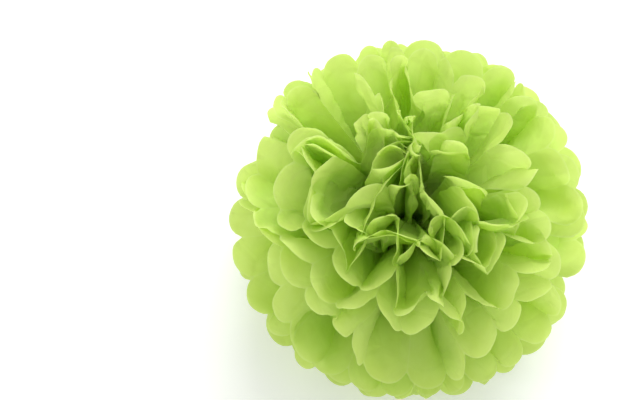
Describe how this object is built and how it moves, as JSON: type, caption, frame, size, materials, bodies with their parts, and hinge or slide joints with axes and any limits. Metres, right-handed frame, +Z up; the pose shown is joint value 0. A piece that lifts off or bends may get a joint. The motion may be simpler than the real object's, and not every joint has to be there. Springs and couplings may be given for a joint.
{
  "type": "tissue paper pom pom",
  "caption": "Round layered ball of pleated tissue sheets with scalloped petal ends, gathered at the middle by a ribbon tie and resting on its lower petals.",
  "frame": {"origin": "centre of the footprint on the floor, under the tie", "axes": "+Z up through the tie; Y along the sheets' length at the tie; X along the seam between the half fans"},
  "size_m": [0.3066, 0.302, 0.2473],
  "materials": {
    "lime_tissue": "matte, slightly translucent",
    "white_satin": "satin"
  },
  "bodies": {
    "root": {"sheet_01": "lime_tissue", "sheet_02": "lime_tissue", "sheet_03": "lime_tissue", "sheet_04": "lime_tissue", "sheet_05": "lime_tissue", "sheet_06": "lime_tissue", "sheet_07": "lime_tissue", "sheet_08": "lime_tissue", "sheet_09": "lime_tissue", "sheet_10": "lime_tissue", "sheet_11": "lime_tissue", "sheet_12": "lime_tissue", "ribbon_tie": "white_satin"}
  },
  "joints": []
}
